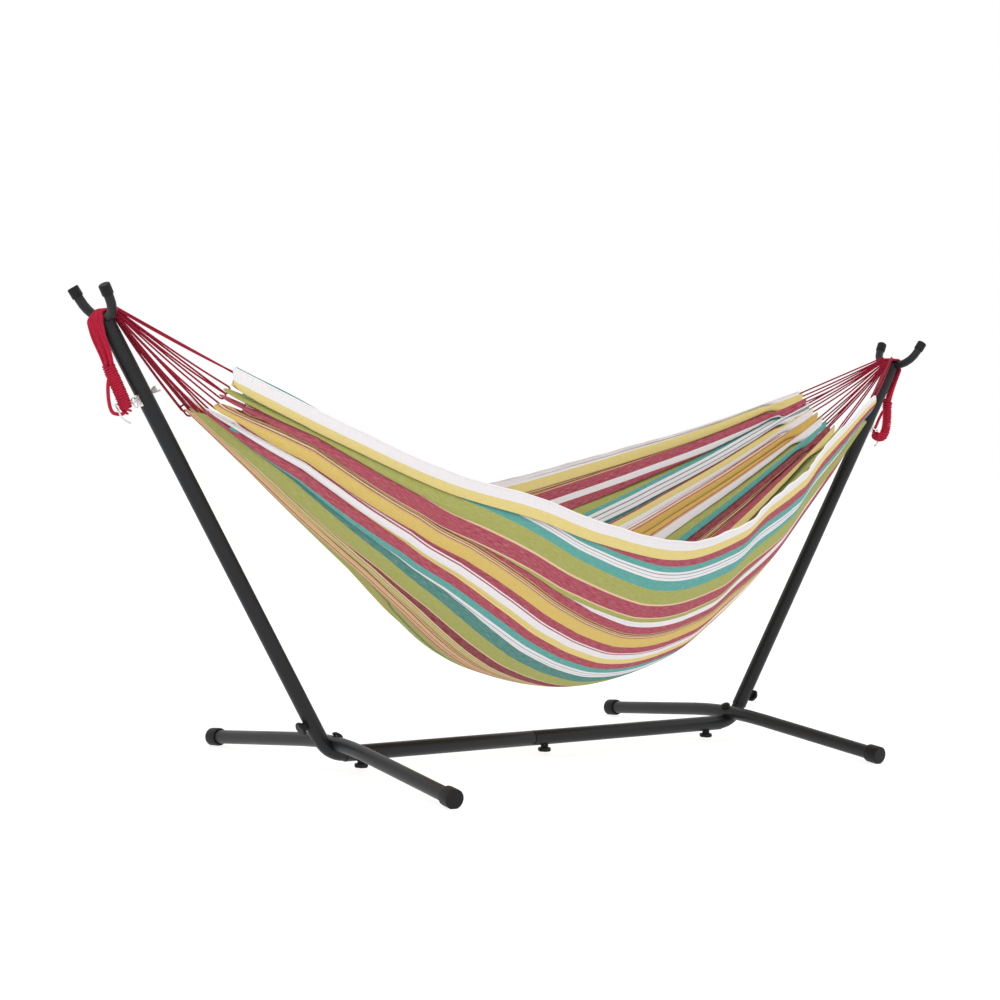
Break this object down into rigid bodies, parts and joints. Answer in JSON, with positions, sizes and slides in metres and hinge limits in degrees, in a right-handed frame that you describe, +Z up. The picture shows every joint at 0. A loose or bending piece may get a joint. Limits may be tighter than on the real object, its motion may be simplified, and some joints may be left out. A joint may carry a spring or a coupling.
{
  "type": "hammock on stand",
  "caption": "Striped woven hammock slung by fanned clew cords between the sloping uprights of a bent steel tube stand with arched crossbar feet.",
  "frame": {"origin": "on the floor under the middle of the stand", "axes": "+X along the base tube towards one upright, +Y across the stand, +Z up"},
  "size_m": [2.851, 1.1776, 1.2221],
  "materials": {
    "steel": "charcoal powder coat, satin",
    "steel_satin": "charcoal powder coat, satin",
    "plastic": "moulded black, matte",
    "zinc": "bright zinc plate",
    "cord": "twisted crimson cotton cord",
    "cloth": "plain-weave cotton, multicoloured lengthwise stripes"
  },
  "bodies": {
    "stand": {"base_tube_left": "steel", "base_tube_right": "steel", "elbow_left": "steel", "elbow_right": "steel", "upright_left": "steel", "upright_right": "steel", "fork_left": "steel", "fork_right": "steel", "crossbar_left": "steel_satin", "crossbar_right": "steel_satin", "foot_cap_left_near": "plastic", "prong_cap_left_near": "plastic", "foot_cap_left_far": "plastic", "prong_cap_left_far": "plastic", "foot_cap_right_near": "plastic", "prong_cap_right_near": "plastic", "foot_cap_right_far": "plastic", "prong_cap_right_far": "plastic", "bolt_cover_left": "plastic", "bolt_cover_right": "plastic", "crossbar_bolt_left": "zinc", "crossbar_nut_left": "zinc", "eye_bolt_left": "zinc", "saddle_washer_left": "zinc", "s_hook_left": "zinc", "crossbar_bolt_right": "zinc", "crossbar_nut_right": "zinc", "eye_bolt_right": "zinc", "saddle_washer_right": "zinc", "s_hook_right": "zinc", "knob_nut_base_middle": "zinc", "knob_nut_base_left": "zinc", "knob_nut_base_right": "zinc", "knob_nut_upright_left": "zinc", "knob_nut_upright_right": "zinc", "hank_left": "cord", "whipped_loop_left": "cord", "hank_right": "cord", "whipped_loop_right": "cord"},
    "knob_base_middle": {"knob_base_middle": "plastic", "knob_stud_base_middle": "zinc"},
    "knob_base_left": {"knob_base_left": "plastic", "knob_stud_base_left": "zinc"},
    "knob_base_right": {"knob_base_right": "plastic", "knob_stud_base_right": "zinc"},
    "knob_upright_left": {"knob_upright_left": "plastic", "knob_stud_upright_left": "zinc"},
    "knob_upright_right": {"knob_upright_right": "plastic", "knob_stud_upright_right": "zinc"},
    "wing_nut_left": {"wing_nut_left": "zinc"},
    "wing_nut_right": {"wing_nut_right": "zinc"},
    "hammock": {"bed": "cloth", "clew_cords_left": "cord", "clew_cords_right": "cord"}
  },
  "joints": [
    {"name": "bed_swing", "type": "hinge", "parent": "stand", "child": "hammock", "pos_m": [0, 0, 1.157], "axis": [1, 0, 0], "range_deg": [-25, 25]},
    {"name": "base_middle_knob_turn", "type": "hinge", "parent": "stand", "child": "knob_base_middle", "pos_m": [0, 0, 0.0483], "axis": [0, 0, -1], "continuous": true},
    {"name": "base_left_knob_turn", "type": "hinge", "parent": "stand", "child": "knob_base_left", "pos_m": [-0.61, 0, 0.0483], "axis": [0, 0, -1], "continuous": true},
    {"name": "base_right_knob_turn", "type": "hinge", "parent": "stand", "child": "knob_base_right", "pos_m": [0.61, 0, 0.0483], "axis": [0, 0, -1], "continuous": true},
    {"name": "upright_left_knob_turn", "type": "hinge", "parent": "stand", "child": "knob_upright_left", "pos_m": [-0.76736, 0, 0.1391], "axis": [-0.8572, 0, -0.515], "continuous": true},
    {"name": "upright_right_knob_turn", "type": "hinge", "parent": "stand", "child": "knob_upright_right", "pos_m": [0.76736, 0, 0.1391], "axis": [0.8572, 0, -0.515], "continuous": true},
    {"name": "wing_nut_left_turn", "type": "hinge", "parent": "stand", "child": "wing_nut_left", "pos_m": [-1.2594, 0, 0.958], "axis": [0.8572, 0, 0.515], "continuous": true},
    {"name": "wing_nut_right_turn", "type": "hinge", "parent": "stand", "child": "wing_nut_right", "pos_m": [1.2594, 0, 0.958], "axis": [-0.8572, 0, 0.515], "continuous": true}
  ]
}
